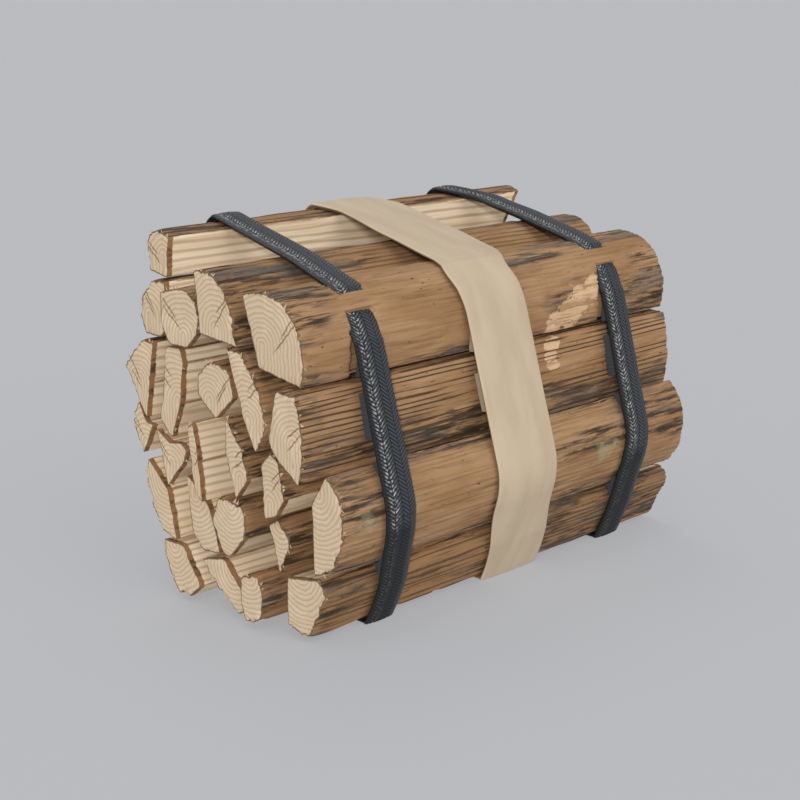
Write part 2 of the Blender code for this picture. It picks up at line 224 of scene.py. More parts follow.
def noise(a, b, c, seed):
    """Smooth noise from -1 to 1 at arrays of coordinates."""
    a, b, c = np.broadcast_arrays(a, b, c)
    low = [np.floor(values).astype(np.int64) for values in (a, b, c)]
    part = [values - floor for values, floor in zip((a, b, c), low)]
    ease = [share * share * (3 - 2 * share) for share in part]
    total = np.zeros(a.shape)
    for corner in range(8):
        steps = [(corner >> axis) & 1 for axis in range(3)]
        weight = np.ones(a.shape)
        for share, step in zip(ease, steps):
            weight = weight * (share if step else 1 - share)
        total += weight * lattice(low[0] + steps[0], low[1] + steps[1], low[2] + steps[2], seed)
    return total


def smooth_step(low, high, values):
    share = np.clip((values - low) / (high - low), 0, 1)
    return share * share * (3 - 2 * share)


# Mesh helpers.

def mesh_piece(name, points, faces, attributes, materials, face_slots=None, sharp_angle=50):
    """An object from point and face arrays, with named per-point numbers for its materials."""
    mesh = bpy.data.meshes.new(name)
    mesh.from_pydata(points.tolist(), [], faces)
    for key, values in attributes.items():
        layer = mesh.attributes.new(key, "FLOAT", "POINT")
        layer.data.foreach_set("value", np.asarray(values, dtype=np.float32).ravel())
    for material in materials:
        mesh.materials.append(material)
    if face_slots is not None:
        mesh.polygons.foreach_set("material_index", face_slots)
    mesh.polygons.foreach_set("use_smooth", [True] * len(mesh.polygons))
    mesh.set_sharp_from_angle(angle=math.radians(sharp_angle))
    mesh.update()
    piece = bpy.data.objects.new(name, mesh)
    bpy.context.scene.collection.objects.link(piece)
    return piece


def ring_faces(start_a, start_b, count):
    """Quads between two closed rings of vertices that start at these indices."""
    return [(start_a + i, start_a + (i + 1) % count, start_b + (i + 1) % count, start_b + i)
            for i in range(count)]


# Logs.

def side_points(corner, following, spacing):
    """Points (y, z) on a side of a log's end, from its corner up to the following one."""
    y, z, bulge = corner[:3]
    side_y = (following[0] - y) * MM
    side_z = (following[1] - z) * MM
    length = math.hypot(side_y, side_z)
    steps = max(2, round(length / spacing))
    points = []
    for step in range(steps):
        along = step / steps
        out = 4 * bulge * MM * along * (1 - along)
        points.append((y * MM + side_y * along + out * side_z / length,
                       z * MM + LIFT + side_z * along - out * side_y / length))
    return points


def sample_outline(corners):
    """Evenly spaced points round a log's end, with the bark flag of each and whether it is a corner."""
    points, bark, corner_flags = [], [], []
    for corner, following in zip(corners, corners[1:] + corners[:1]):
        side = side_points(corner, following, ROUND_STEP)
        points += side
        bark += [corner[3]] * len(side)
        corner_flags += [True] + [False] * (len(side) - 1)
    return np.array(points) + (CENTRING[1], 0), np.array(bark), np.array(corner_flags)


def soften(points):
    """Take the sharpness off the corners of a closed outline."""
    for _ in range(2):
        points = 0.5 * points + 0.25 * (np.roll(points, 1, 0) + np.roll(points, -1, 0))
    return points


def outward(points):
    """Outward unit normals of an outline that runs counterclockwise as seen from +X."""
    along = np.roll(points, -1, 0) - np.roll(points, 1, 0)
    normals = np.stack([along[:, 1], -along[:, 0]], 1)
    return normals / np.linalg.norm(normals, axis=1)[:, None]


def distance_round(marks, lengths):
    """For each point of a closed outline, how far the nearest mark is along the outline."""
    places = np.concatenate([[0], np.cumsum(lengths)[:-1]])
    total = lengths.sum()
    marked = places[marks]
    if len(marked) == 0:
        return np.full(len(places), FAR_OFF)
    gaps = np.abs(places[:, None] - marked[None, :])
    return np.minimum(np.minimum(gaps, total - gaps).min(1), FAR_OFF)


def section_shares(length, step):
    """Where a log's sections lie, as shares of its length, closer together near both ends."""
    ends = np.array(END_STEPS)
    middle = np.linspace(ends[-1], length - ends[-1], round((length - 2 * ends[-1]) / step) + 1)
    places = np.concatenate([ends[:-1], middle, (length - ends[:-1])[::-1]])
    return places / length


def make_log(name, seed, side_material, end_material):
    """One log: its bark and split sides, its two ends and the numbers that its materials read."""
    near_out, far_out, corners = LOGS[name]
    near_x = -LOG_LENGTH / 2 - near_out * MM + CENTRING[0]
    far_x = LOG_LENGTH / 2 + far_out * MM + CENTRING[0]
    raw, bark, corner_flags = sample_outline(corners)
    outline = soften(raw)
    normals = outward(outline)
    lengths = np.linalg.norm(np.roll(raw, -1, 0) - raw, axis=1)
    changes = bark != np.roll(bark, 1)
    bark_depth = distance_round(changes, lengths) * np.where(bark, 1, -1)
    split_corners = corner_flags & ~bark & ~np.roll(bark, 1)
    from_corner = distance_round(split_corners, lengths)
    count = len(outline)
    step = LENGTH_STEP / 2 if name == RIDGE_LOG else LENGTH_STEP
    shares = section_shares(far_x - near_x, step)[:, None]
    top_z = max(corner[1] for corner in corners) * MM + LIFT
    far_here = far_x - FAR_SLANT.get(name, 0.0) * (top_z - outline[:, 1])[None, :]
    x = near_x + (far_here - near_x) * shares
    y = outline[None, :, 0]
    z = outline[None, :, 1]
    from_end = np.minimum(x - near_x, far_here - x)
    relief = log_relief(x, y, z, bark_depth[None, :], from_end, seed)
    if name == RIDGE_LOG:
        relief = relief + strap_channels(x, y, z)
    middle = outline.mean(0)
    y = y + normals[None, :, 0] * relief
    z = z + normals[None, :, 1] * relief
    teeth = end_teeth(outline, bark, seed)
    near_pull = teeth[0] * np.clip(1 - (x - near_x) / CHIP_REACH, 0, 1)
    far_pull = teeth[1] * np.clip(1 - (far_here - x) / CHIP_REACH, 0, 1)
    x = x + near_pull - far_pull
    side = np.stack([x, y, z], 2)
    points = [side.reshape(-1, 3)]
    from_end_values = [from_end.ravel()]
    rim_values = [np.zeros(side.shape[0] * count)]
    faces = []
    for row in range(side.shape[0] - 1):
        faces += ring_faces(row * count, (row + 1) * count, count)
    side_faces = len(faces)
    for ring, tooth, inward in ((side[0], teeth[0], 1), (side[-1], teeth[1], -1)):
        faces += end_cap(ring, tooth, inward, middle, points, from_end_values, rim_values, seed)
    points = np.concatenate(points)
    rows = side.shape[0]
    spare = len(points) - rows * count
    attributes = {
        "bark_depth": np.concatenate([np.tile(bark_depth, rows), np.full(spare, -FAR_OFF)]),
        "from_corner": np.concatenate([np.tile(from_corner, rows), np.full(spare, FAR_OFF)]),
        "from_end": np.concatenate(from_end_values),
        "from_rim": np.concatenate(rim_values),
        **log_looks(name, seed, outline, points),
    }
    slots = [0] * side_faces + [1] * (len(faces) - side_faces)
    piece = mesh_piece(name + "_wood", points, faces, attributes, [side_material, end_material], slots)
    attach(piece, "root")
    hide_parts(name)
    return piece


def log_looks(name, seed, outline, points):
    """The per-point numbers for a log's bark, rings, cracks and spots."""
    middle = outline.mean(0)
    span_y, span_z = np.ptp(outline, axis=0)
    tone, stripes, grey = BARK_LOOKS.get(name, PLAIN_BARK)
    arch, heart, straight = RING_LOOKS.get(name) or RING_LOOKS[name.rsplit("_", 1)[0]]
    same_all_over = {
        "tone": tone,
        "stripes": stripes,
        "grey": grey,
        "pith_y": middle[0] + 0.22 * span_y * math.sin(seed * 2.1),
        "pith_z": middle[1] + heart * span_z + 0.10 * span_z * math.sin(seed * 3.7),
        "arch": arch,
        "straight": straight,
    }
    looks = {key: np.full(len(points), value) for key, value in same_all_over.items()}
    # The logs of the two lowest courses have no cracks.
    sound = name.startswith(("log_first", "log_second"))
    cracks = end_cracks(points, middle, span_y, span_z, seed)
    for order, (beside, along) in zip(("first", "second"), cracks):
        looks[order + "_crack_off"] = beside + 0.1 * sound
        looks[order + "_crack_along"] = along
    front = points[:, 1] < middle[0]
    for key, spots in (("bare", BARE_SPOTS), ("lichen", LICHEN_SPOTS)):
        share = spot_share(points[:, 0], points[:, 2], spots.get(name, []))
        looks[key] = np.where(front, share, -1.0)
    return looks


def make_splinters(material):
    """Small pale splinters that stand off the bark's edge at the near ends."""
    draws = np.random.default_rng(9)
    points, faces = [], []
    for near_out, _, corners in LOGS.values():
        near_x = -LOG_LENGTH / 2 - near_out * MM + CENTRING[0]
        raw, bark, _ = sample_outline(corners)
        outline = soften(raw)
        normals = outward(outline)
        rim = np.flatnonzero(bark) if bark.any() else np.arange(len(bark))
        for spot in draws.choice(rim, SPLINTERS_A_LOG):
            out = np.array([0.0, *normals[spot]])
            along = np.array([0.0, -normals[spot][1], normals[spot][0]])
            foot = np.array([near_x + 0.0006, *outline[spot]]) - 0.0012 * out
            half = draws.uniform(0.0007, 0.0016)
            lean = out + draws.uniform(-0.9, 0.9) * along + np.array([draws.uniform(-0.3, 0.4), 0, 0])
            tip = foot + lean / np.linalg.norm(lean) * draws.uniform(0.0028, 0.0052)
            start = len(points)
            points += [foot - half * along, foot + half * along, foot + np.array([0.0007, 0, 0]), tip]
            faces += [(start + a, start + b, start + c)
                      for a, b, c in ((0, 1, 2), (0, 3, 1), (1, 3, 2), (2, 3, 0))]
    piece = mesh_piece("splinters", np.array(points), faces, {}, [material], None, 20)
    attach(piece, "root")


def end_cracks(points, middle, span_y, span_z, seed):
    """For two slanting cracks in a log's ends: how far each point is beside and along each of them."""
    cracks = []
    for order in (0, 1):
        slant = math.radians(46 + 9 * math.sin(seed * 1.9 + order))
        mirrored = -1 if middle[0] > 0.035 else 1
        along_y = -math.cos(slant) * mirrored
        along_z = math.sin(slant)
        away_y = points[:, 1] - middle[0] + (0.24 - 0.05 * order) * span_y * mirrored
        away_z = points[:, 2] - middle[1] - (0.14 - 0.14 * order + 0.08 * math.sin(seed * 0.7)) * span_z
        off = away_y * along_z - away_z * along_y
        half = (0.20 + 0.06 * math.sin(seed + 2 * order)) * min(span_y, span_z) + 0.004
        along = (away_y * along_y + away_z * along_z) / half
        cracks.append((off, along))
    return cracks


def spot_share(x, z, spots):
    """1 in the middle of the spots, 0 at their edges and -1 away from them."""
    share = np.full(x.shape, -1.0)
    for start_x, start_z, end_x, end_z, half in spots:
        run_x = (end_x - start_x) * MM
        run_z = (end_z - start_z) * MM
        away_x = x - start_x * MM
        away_z = z - start_z * MM
        along = np.clip((away_x * run_x + away_z * run_z) / (run_x ** 2 + run_z ** 2), 0, 1)
        distance = np.hypot(away_x - along * run_x, away_z - along * run_z)
        share = np.maximum(share, 1 - distance / (half * MM))
    return share


def log_relief(x, y, z, bark_depth, from_end, seed):
    """How far a log's surface stands in or out at each point."""
    furrow = np.abs(noise(y / 0.0036, z / 0.0036, x / 0.042, seed))
    furrow = -smooth_step(0.22, 0.0, furrow)
    plate = noise(y / 0.011, z / 0.011, x / 0.034, seed + 1)
    grain = noise(y / 0.0021, z / 0.0021, x / 0.016, seed + 2)
    barky = BARK_FURROW * furrow + BARK_PLATE * (plate - 0.4) + 0.00022 * grain
    fibre = noise(y / 0.0019, z / 0.0019, x / 0.055, seed + 3)
    swell = noise(y / 0.013, z / 0.013, x / 0.075, seed + 4)
    splitty = SPLIT_FIBRE * fibre + SPLIT_SWELL * (swell - 0.5)
    share = smooth_step(-0.0012, 0.0012, bark_depth)
    worn = smooth_step(0.010, 0.0, from_end) * (noise(y / 0.005, z / 0.005, x / 0.004, seed + 5) + 0.7)
    saw = smooth_step(0.0035, 0.0, from_end) * (noise(y / 0.0026, z / 0.0026, 0.5, seed + 6) + 0.35)
    near = np.where(x < 0, 1.0, 0.1)
    return splitty * (1 - share) + barky * share - (0.0005 * worn + 0.0010 * saw) * share * near


def strap_channels(x, y, z):
    """How far the ridge log's surface sinks under the straps, on both sides of the bark bridge."""
    bundle_y = y - CENTRING[1]
    place = np.degrees(np.arctan2(z - BUNDLE_MIDDLE[1], bundle_y - BUNDLE_MIDDLE[0]))
    place = (place - RUN_START) % 360 + RUN_START
    beside = (bundle_y > BRIDGE[0]) | (z < BRIDGE[1])
    outer_side = (place > 95) & (place < 150)
    sink = np.zeros(x.shape)
    for run in (STRAP_NEAR_RUN, STRAP_FAR_RUN):
        middles, widths = zip(*(run_at(run, angle) for angle in place.ravel()))
        middles = np.reshape(middles, place.shape) + CENTRING[0]
        halves = np.reshape(widths, place.shape) / 2
        inside = smooth_step(halves - 0.0002, halves - 0.0016, np.abs(x - middles))
        sink = sink - BRIDGE_SINK * inside * beside * outer_side
        left = smooth_step(middles - halves + 0.0012, middles - halves - 0.0004, x)
        near_strap = smooth_step(middles - halves - 0.075, middles - halves - 0.020, x)
        sink = sink - 0.0009 * left * near_strap * outer_side * smooth_step(0.2365, 0.2400, z)
    return sink


def end_teeth(outline, bark, seed):
    """How far the end's rim is chipped away at each point, for the near and the far end."""
    teeth = []
    for end in (0, 1):
        coarse = noise(outline[:, 0] / 0.0052, outline[:, 1] / 0.0052, 7.3 * end + 0.5, seed + 11)
        fine = noise(outline[:, 0] / 0.0019, outline[:, 1] / 0.0019, 3.1 * end + 0.5, seed + 12)
        chip = smooth_step(0.0, 0.55, coarse + 0.45 * fine)
        teeth.append(CHIP_DEPTH * chip * np.where(bark, 1.0, 0.35) * (1 - 0.7 * end))
    return teeth


def end_cap(ring, tooth, inward, middle, points, from_end_values, rim_values, seed):
    """Close an end with rings that shrink towards its middle. Adds to the lists and returns the faces."""
    count = len(ring)
    start = sum(len(block) for block in points)
    flat = ring[:, 1:] - middle
    reach = np.linalg.norm(flat, axis=1)
    plane_x = ring[:, 0] - inward * tooth
    rings = [(ring, np.zeros(count))]
    for inset in CAP_INSETS:
        scale = 1 - inset / reach
        rings.append((middle + flat * scale[:, None], np.full(count, inset)))
    for scale in CAP_SCALES:
        rings.append((middle + flat * scale, np.clip(reach * (1 - scale), 0.004, FAR_OFF)))
    faces = []
    for order, (place, rim) in enumerate(rings):
        if order == 0:
            block = ring.copy()
        else:
            keep = max(0.0, 1 - CAP_INSETS[min(order, len(CAP_INSETS)) - 1] / 0.0035)
            saw = 0.00018 * noise(place[:, 0] / 0.004, place[:, 1] / 0.004, 0.5, seed + 21)
            block_x = plane_x + inward * (tooth * keep * 0.6) + saw
            if order > len(CAP_INSETS):
                pull = CAP_SCALES[order - 1 - len(CAP_INSETS)]
                block_x = plane_x.mean() + (plane_x - plane_x.mean()) * pull + saw
            block = np.column_stack([block_x, place])
        points.append(block)
        from_end_values.append(np.zeros(count))
        rim_values.append(rim)
        if order:
            faces += ring_faces(start + (order - 1) * count, start + order * count, count)
    points.append(np.array([[plane_x.mean(), *middle]]))
    from_end_values.append(np.zeros(1))
    rim_values.append(np.full(1, FAR_OFF))
    centre = start + len(rings) * count
    last = start + (len(rings) - 1) * count
    faces += [(last + i, last + (i + 1) % count, centre) for i in range(count)]
    if inward > 0:
        faces = [tuple(reversed(face)) for face in faces]
    return faces


# Straps and band.

def plain_outline(corners):
    """The points (y, z) round a log that the ties are pulled over."""
    points = []
    for corner, following in zip(corners, corners[1:] + corners[:1]):
        side = side_points(corner, following, CHORD)
        points += side if corner[2] else side[:1]
    return points


def convex_hull(points):
    """The outermost points, counterclockwise."""
    ordered = sorted(set(points))

    def half(walk):
        chain = []
        for point in walk:
            while len(chain) > 1 and turn(chain[-2], chain[-1], point) <= 0:
                chain.pop()
            chain.append(point)
        return chain[:-1]

    return half(ordered) + half(reversed(ordered))


def turn(first, second, third):
    """Above 0 where three points turn left."""
    return ((second[0] - first[0]) * (third[1] - first[1])
            - (second[1] - first[1]) * (third[0] - first[0]))


def tie_line(hull, thickness):
    """Finely spaced points on a tie's outer face with the direction of the normal at each."""
    entries = []
    count = len(hull)
    for index in range(count):
        corner = hull[index]
        following = hull[(index + 1) % count]
        before = math.atan2(corner[1] - hull[index - 1][1], corner[0] - hull[index - 1][0]) - math.pi / 2
        after = math.atan2(following[1] - corner[1], following[0] - corner[0]) - math.pi / 2
        bend = (after - before) % (2 * math.pi)
        arc_steps = max(1, math.ceil(bend / math.radians(10)))
        for step in range(arc_steps):
            entries.append((corner, before + bend * step / arc_steps))
        length = math.dist(corner, following)
        steps = max(1, round(length / TIE_STEP))
        for step in range(steps):
            foot = (corner[0] + (following[0] - corner[0]) * step / steps,
                    corner[1] + (following[1] - corner[1]) * step / steps)
            entries.append((foot, after))
    line = []
    for foot, angle in entries:
        line.append((foot[0] + thickness * math.cos(angle),
                     max(0.0, foot[1] + thickness * math.sin(angle)), angle))
    return line


def room_below(point, angle, sides):
    """How far a tie's outer face is from the wood, straight inwards."""
    direction = np.array([-math.cos(angle), -math.sin(angle)])
    side = sides[:, 2:] - sides[:, :2]
    across = direction[0] * side[:, 1] - direction[1] * side[:, 0]
    across = np.where(np.abs(across) < 1e-12, 1e-12, across)
    away = sides[:, :2] - np.array(point)
    distance = (away[:, 0] * side[:, 1] - away[:, 1] * side[:, 0]) / across
    share = (away[:, 0] * direction[1] - away[:, 1] * direction[0]) / across
    hits = distance[(share >= 0) & (share <= 1) & (distance > 0)]
    return hits.min() if len(hits) else 1.0


def run_at(run, place):
    """Middle along X and width of a tie at an angle round the bundle, in metres."""
    entries = run + [(run[0][0] + 360, run[0][1], run[0][2])]
    for first, second in zip(entries, entries[1:]):
        if first[0] <= place <= second[0]:
            share = (place - first[0]) / (second[0] - first[0])
            share = share * share * (3 - 2 * share)
            return ((first[1] + (second[1] - first[1]) * share) * MM,
                    (first[2] + (second[2] - first[2]) * share) * MM)
    return entries[0][1] * MM, entries[0][2] * MM


def tie_frame(hull, outlines, run, thickness, depth, backs):
    """The stations of a tie: outer point, normal, middle, width, depth and length so far."""
    line = tie_line(hull, thickness)
    sides = np.array([(*start, *end) for outline in outlines
                      for start, end in zip(outline, outline[1:] + outline[:1])])
    rooms = np.array([room_below((y, z), angle, sides) for y, z, angle in line])
    tight = np.min([np.roll(rooms, shift) for shift in range(-3, 4)], axis=0)
    inner = np.minimum(tight - 0.0003, depth)
    stations = []
    run_length = 0.0
    for index, (y, z, angle) in enumerate(line):
        place = math.degrees(math.atan2(z - BUNDLE_MIDDLE[1], y - BUNDLE_MIDDLE[0]))
        place = (place - RUN_START) % 360 + RUN_START
        middle, width = run_at(run, place)
        deep = any(start < place < end for start, end in backs)
        reach = inner[index] if deep else min(inner[index], thickness - 0.0003)
        stations.append((y, z, angle, middle, width, reach, run_length))
        following = line[(index + 1) % len(line)]
        run_length += math.dist((y, z), following[:2])
    return stations, run_length


def make_tie(name, node, stations, total, across_shares, profile, relief, thickness, material):
    """A closed ring. across_shares are -1 to 1 over its face, profile gives how deep the face lies.

    The wall number is 0 on the face, 1 on its dark edge, whose darkness on the band is a painted shadow,
    and 2 on the back that fills a gap.
    """
    points, runs, acrosses, walls, belows = [], [], [], [], []
    for y, z, angle, middle, width, depth, run in stations:
        half = width / 2
        edge = profile(1.0, half)
        inner = 1 - UNDERCUT / half
        back = 2.0 if depth > thickness else 1.0
        low = min(thickness - 0.0006, depth)
        side = [(inner, depth, back), (inner, min(low + 0.0003, depth), back), (inner, low, 1.0),
                (1.0, edge + EDGE_HEIGHT, 1.0), (1.0, edge + 0.0001, 1.0)]
        section = [(-share, inward, wall) for share, inward, wall in side]
        section += [(share, profile(share, half), 0.0) for share in across_shares]
        section += reversed(side)
        for share, inward, wall in section:
            if not wall:
                inward -= relief(share, run, total)
            inward = min(inward, depth)
            points.append((middle + share * half + CENTRING[0],
                           y + CENTRING[1] - inward * math.cos(angle),
                           max(0.0, z - inward * math.sin(angle)) if inward < 0.002
                           else z - inward * math.sin(angle)))
            runs.append(run / total * round(total / BRAID_PITCH))
            acrosses.append(share)
            walls.append(wall)
            belows.append(-math.sin(angle))
    count = len(section)
    rows = len(stations)
    faces = []
    for row in range(rows):
        faces += ring_faces(row * count, (row + 1) % rows * count, count)
    attributes = {"pitches": runs, "across": acrosses, "wall": walls, "below": belows}
    piece = mesh_piece(name, np.array(points), faces, attributes, [material], None, 40)
    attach(piece, "root")
    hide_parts(node)
    return piece


def strap_profile(share, half):
    edge = max(0.0, abs(share) * half - (half - STRAP_SHOULDER)) / STRAP_SHOULDER
    return 0.0003 + 0.0009 * share * share + 0.0005 * edge * edge


def braid_height(share, run, total):
    """The plait's relief: yarns that slant one way in one column and the other way in the next."""
    pitch = total / round(total / BRAID_PITCH)
    column = (share + 1) / 2 * BRAID_COLUMNS
    inside = column % 1.0
    slant = inside if int(column) % 2 else 1 - inside
    yarn = abs(math.sin(math.pi * (run / pitch + slant * BRAID_SLANT)))
    groove = min(1.0, min(inside, 1 - inside) * 6)
    return BRAID_RELIEF * (yarn * 0.9 + groove * 0.4 - 0.5)


def band_profile(share, half):
    edge = max(0.0, abs(share) * half - (half - BAND_SHOULDER)) / BAND_SHOULDER
    return 0.0003 + 0.0006 * share * share + 0.0009 * edge * edge


def band_height(share, run, total):
    """Slow waves of soft leather under tension."""
    turns = run / total * 2 * math.pi
    return 0.00018 * math.sin(turns * 9 + share * 1.3) * math.cos(share * 2.6 + turns * 4) - 0.0001


# Material helpers.

class Number:
    """A node's output, which sums and products can be written with."""

    def __init__(self, nodes, socket):
        self.nodes = nodes
        self.socket = socket

    def __add__(self, other):
        return self.nodes.math("ADD", self, other)

    def __sub__(self, other):
        return self.nodes.math("SUBTRACT", self, other)

    def __rsub__(self, other):
        return self.nodes.math("SUBTRACT", other, self)

    def __mul__(self, other):
        return self.nodes.math("MULTIPLY", self, other)

    def __abs__(self):
        return self.nodes.math("ABSOLUTE", self)

    __radd__ = __add__
    __rmul__ = __mul__


class Nodes:
    """Short calls for building one material's nodes."""

    def __init__(self, name):
        self.material = bpy.data.materials.new(name)
        self.material.use_nodes = True
        self.tree = self.material.node_tree
        self.shader = self.tree.nodes["Principled BSDF"]

    def new(self, kind, sources, output, **values):
        """A new node with its inputs joined to sources, as a number from one of its outputs."""
        node = self.tree.nodes.new(kind)
        for key, value in values.items():
            setattr(node, key, value)
        for socket, source in sources.items():
            self.join(source, node.inputs[socket])
        return Number(self, node.outputs[output])

    def join(self, source, socket):
        """Feed a socket from another node, or set it to a plain value."""
        if isinstance(source, Number):
            self.tree.links.new(source.socket, socket)
        else:
            socket.default_value = source

    def number(self, name):
        """One of the numbers that the mesh holds for each point."""
        return self.new("ShaderNodeAttribute", {}, "Fac", attribute_name=name)

    def math(self, operation, first, second=0.0):
        return self.new("ShaderNodeMath", {0: first, 1: second}, 0, operation=operation)

    def step(self, value, low, high):
        """0 at low, 1 at high, eased between."""
        return self.new("ShaderNodeMapRange", {"Value": value, "From Min": low, "From Max": high}, "Result",
                        interpolation_type="SMOOTHSTEP")

    def point(self):
        """The point on the piece, in metres."""
        return self.new("ShaderNodeTexCoord", {}, "Object")

    def axes(self):
        point = self.point()
        return [self.new("ShaderNodeSeparateXYZ", {0: point}, axis) for axis in "XYZ"]

    def noise(self, scales, detail, roughness):
        """Noise from 0 to 1 over the piece, with these scales along X, Y and Z."""
        scaled = self.new("ShaderNodeVectorMath", {0: self.point(), 1: scales}, 0, operation="MULTIPLY")
        return self.new("ShaderNodeTexNoise", {"Vector": scaled, "Scale": 1.0, "Detail": detail,
                                               "Roughness": roughness}, "Fac")

    def wander(self, scales, detail, roughness, reach):
        """Noise from minus half to plus half of reach."""
        return (self.noise(scales, detail, roughness) - 0.5) * reach

    def mix(self, share, first, second):
        return self.new("ShaderNodeMix", {"Factor": share, 6: first, 7: second}, 2, data_type="RGBA")

    def paint(self, under, over, share, strength):
        """One colour over another, as thick as share times strength."""
        return self.mix(share * strength, under, over)

    def bump(self, height, distance, strength):
        return self.new("ShaderNodeBump", {"Height": height, "Distance": distance, "Strength": strength},
                        "Normal")

    def finish(self, colour, roughness, specular, normal=None):
        self.join(colour, self.shader.inputs["Base Color"])
        self.join(roughness, self.shader.inputs["Roughness"])
        self.join(specular, self.shader.inputs["Specular IOR Level"])
        if normal is not None:
            self.join(normal, self.shader.inputs["Normal"])
        return self.material


BARK_LIGHT = srgb(177, 140, 102)
BARK_MID = srgb(159, 121, 83)
BARK_BROWN = srgb(128, 95, 64)
BARK_DARK = srgb(88, 67, 48)
BARK_BLACK = srgb(56, 47, 39)
BARK_GREY = srgb(100, 95, 90)
BARK_BARE = srgb(218, 182, 144)
LICHEN = srgb(166, 168, 132)
SPLIT_LIGHT = srgb(249, 232, 203)
SPLIT_STRIPE = srgb(200, 168, 130)
SPLIT_SHADE = srgb(238, 217, 184)
BORDER_BROWN = srgb(158, 117, 77)
END_LIGHT = srgb(218, 196, 165)
END_RING = srgb(172, 142, 108)
END_CRACK = srgb(112, 82, 54)
BRAID_YARN = srgb(66, 71, 78)
# The colour of the braid's painted glints.
BRAID_PAINTED_GLINT = srgb(188, 188, 184)
BRAID_BLACK = srgb(14, 15, 17)
# The colour of the painted blue-grey reflection in the braid's valleys.
BRAID_REFLECTION_BLUE = srgb(28, 32, 38)
BRAID_EDGE = srgb(16, 17, 19)
# The colour of the painted shade on the braid's undersides.
BRAID_UNDERSIDE_SHADE = srgb(20, 22, 25)
BRAID_BACK = srgb(72, 77, 84)
BAND_CREAM = srgb(194, 174, 147)
BAND_PALE = srgb(205, 186, 159)
BAND_CLOUD = srgb(192, 169, 138)
# The colour of the painted shadow along the band's edges.
BAND_EDGE_SHADOW = srgb(120, 98, 70)
BAND_BACK = srgb(170, 156, 132)
FLOOR_GREY = srgb(126, 127, 130)
FLOOR_PALE = srgb(128, 129, 132)


def thin_lines(nodes):
    """Thin lines along a log, a few millimetres apart and broken off here and there."""
    _, y, z = nodes.axes()
    rows = z * LINES[1] + y * LINES[0] + nodes.noise((3, 70, 70), 3, 0.5) * 2.4
    away = abs(nodes.math("FRACT", rows) - 0.5) * 2.0
    unbroken = nodes.step(nodes.noise((6, 130, 130), 2, 0.5), 0.38, 0.5)
    return nodes.step(away, 0.44, 0.2) * unbroken * nodes.number("stripes")


def bark_colour(nodes):
    """Tan bark: clusters of dark streaks and grey, long thin lines, a few bare and lichened spots."""
    tone = nodes.number("tone")
    light = nodes.noise((14, 48, 48), 4, 0.55) + tone * 0.4
    colour = nodes.mix(nodes.step(light, 0.55, 0.9), BARK_MID, BARK_LIGHT)
    fibre = nodes.noise((22, 420, 420), 3, 0.55)
    colour = nodes.paint(colour, BARK_BROWN, nodes.step(fibre, 0.46, 0.68), 0.45)
    by_border = nodes.step(nodes.number("bark_depth"), 0.013, 0.0) * 0.19
    by_end = nodes.step(nodes.number("from_end"), 0.07, 0.0) * 0.11
    share = nodes.noise((6, 30, 30), 3, 0.5) + by_border + by_end
    cluster = nodes.step(share - tone * 0.1, 0.47, 0.59)
    streak = nodes.noise((20, 260, 260), 7, 0.64)
    colour = nodes.paint(colour, BARK_DARK, nodes.step(streak, 0.46, 0.54) * cluster, 0.85)
    colour = nodes.paint(colour, BARK_BLACK, nodes.step(streak, 0.53, 0.59) * cluster, 0.9)
    smudge = nodes.step(nodes.noise((12, 85, 85), 5, 0.62), 0.48, 0.56) * cluster
    colour = nodes.paint(colour, BARK_GREY, smudge * nodes.number("grey"), 0.85)
    speck = nodes.step(nodes.noise((95, 330, 330), 3, 0.6), 0.66, 0.72)
    colour = nodes.paint(colour, BARK_BLACK, speck, 0.8)
    ragged = nodes.wander((95, 170, 170), 5, 0.68, 1.0)
    bare = nodes.step(nodes.number("bare") + ragged * 2.4, 0.18, 0.36)
    colour = nodes.mix(bare, colour, nodes.mix(nodes.step(streak, 0.45, 0.6), BARK_BARE, BARK_LIGHT))
    thin = thin_lines(nodes)
    colour = nodes.mix(thin, colour, BARK_DARK)
    lichen = nodes.step(nodes.number("lichen") + ragged * 2.6, 0.1, 0.9)
    return nodes.paint(colour, LICHEN, lichen, 0.45), streak, thin


def split_colour(nodes):
    """Cream split wood with soft lengthwise stripes and brown borders."""
    x, y, z = nodes.axes()
    drift = nodes.noise((7, 40, 40), 3, 0.5)
    phase = (z + y * 0.8) * STRIPE_TURN + x * 14.0 + drift * 9.0
    wave = nodes.math("SINE", phase) * 0.5 + 0.5
    fibre = nodes.noise((9, 520, 520), 4, 0.6)
    amount = nodes.step(wave, 0.45, 1.0) * (0.25 + fibre * 0.9)
    colour = nodes.mix(nodes.step(drift, 0.4, 0.65), SPLIT_LIGHT, SPLIT_SHADE)
    colour = nodes.mix(amount, colour, SPLIT_STRIPE)
    colour = nodes.paint(colour, SPLIT_STRIPE, nodes.step(fibre, 0.58, 0.72), 0.5)
    ragged = nodes.wander((120, 260, 260), 3, 0.6, 0.004)
    end_band = nodes.step(nodes.number("from_end") + ragged, 0.0048, 0.0038)
    from_corner = nodes.number("from_corner") + ragged * 0.25
    corner_band = nodes.step(from_corner, 0.0013, 0.0006) * 0.75
    brown = nodes.mix(nodes.step(nodes.noise((60, 90, 200), 3, 0.6), 0.46, 0.7), BORDER_BROWN, BARK_DARK)
    return nodes.mix(nodes.math("MAXIMUM", end_band, corner_band), colour, brown), fibre


